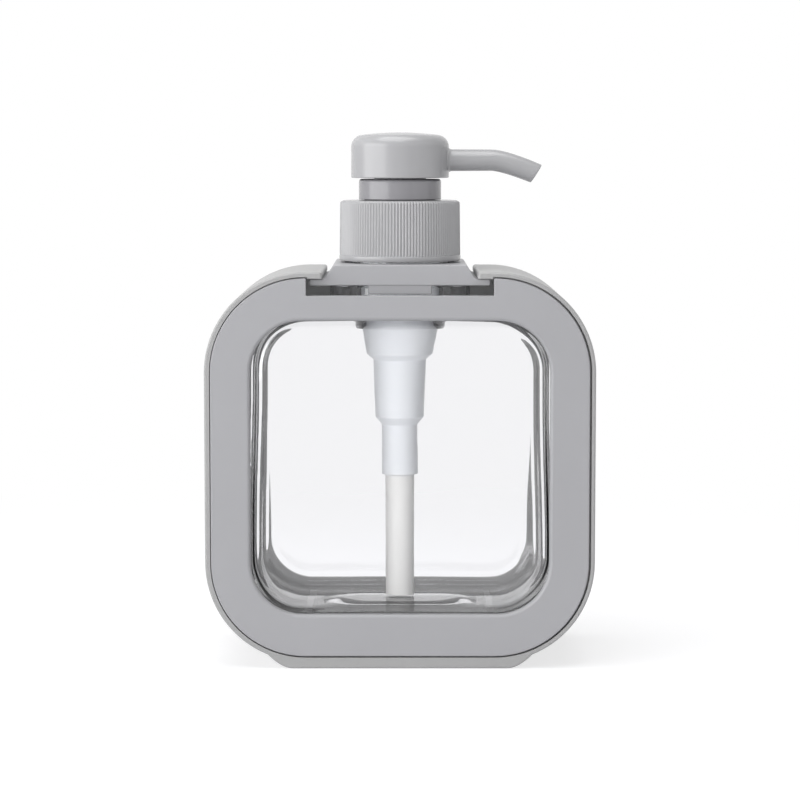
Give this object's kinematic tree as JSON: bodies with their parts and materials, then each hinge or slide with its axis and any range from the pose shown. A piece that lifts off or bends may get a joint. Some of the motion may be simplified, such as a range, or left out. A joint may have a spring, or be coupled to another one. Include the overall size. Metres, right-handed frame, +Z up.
{
  "type": "pump dispenser",
  "caption": "Clear bottle in a rounded square grey plastic frame with windows, under a lock-down lotion pump with a bent spout.",
  "frame": {"origin": "under the middle of the foot, where the dispenser stands", "axes": "+Z up, -Y towards the front with the separate ring, +X along the spout"},
  "size_m": [0.114, 0.057, 0.1567],
  "materials": {
    "frame_plastic": "satin moulded",
    "gloss_grey_plastic": "polished",
    "clear_plastic": "clear",
    "milky_plastic": "translucent",
    "seal_plastic": "soft",
    "steel": "bright"
  },
  "bodies": {
    "frame": {"rear_frame": "frame_plastic", "front_ring": "frame_plastic", "neck_bridge": "frame_plastic", "bottle": "clear_plastic"},
    "pump_body": {"pump_housing": "milky_plastic", "dip_tube": "milky_plastic", "neck_gasket": "seal_plastic", "lock_collar": "gloss_grey_plastic", "stem_wiper": "seal_plastic", "ball_cage": "milky_plastic", "return_spring": "steel"},
    "closure": {"closure": "frame_plastic"},
    "piston": {"piston": "seal_plastic"},
    "head": {"stem": "milky_plastic", "stem_plug": "milky_plastic", "head_shell": "frame_plastic", "spout": "frame_plastic"},
    "inlet_ball": {"inlet_ball": "steel"},
    "outlet_ball": {"outlet_ball": "steel"}
  },
  "joints": [
    {"name": "pump_lift", "type": "slide", "parent": "frame", "child": "pump_body", "axis": [0, 0, 1], "range_m": [0, 0.118]},
    {"name": "closure_turn", "type": "hinge", "parent": "pump_body", "child": "closure", "pos_m": [0, 0, 0.1278], "axis": [0, 0, 1], "continuous": true},
    {"name": "pump_stroke", "type": "slide", "parent": "pump_body", "child": "piston", "axis": [0, 0, 1], "range_m": [0, 0.012], "stiffness_N_per_m": 400, "springref_m": 0.03, "deforming": ["return_spring"]},
    {"name": "head_turn", "type": "hinge", "parent": "piston", "child": "head", "pos_m": [0, 0, 0.15], "axis": [0, 0, 1], "continuous": true},
    {"name": "inlet_ball_lift", "type": "slide", "parent": "pump_body", "child": "inlet_ball", "axis": [0, 0, 1], "range_m": [0, 0.001]},
    {"name": "outlet_ball_lift", "type": "slide", "parent": "head", "child": "outlet_ball", "axis": [0, 0, 1], "range_m": [0, 0.0008]}
  ]
}
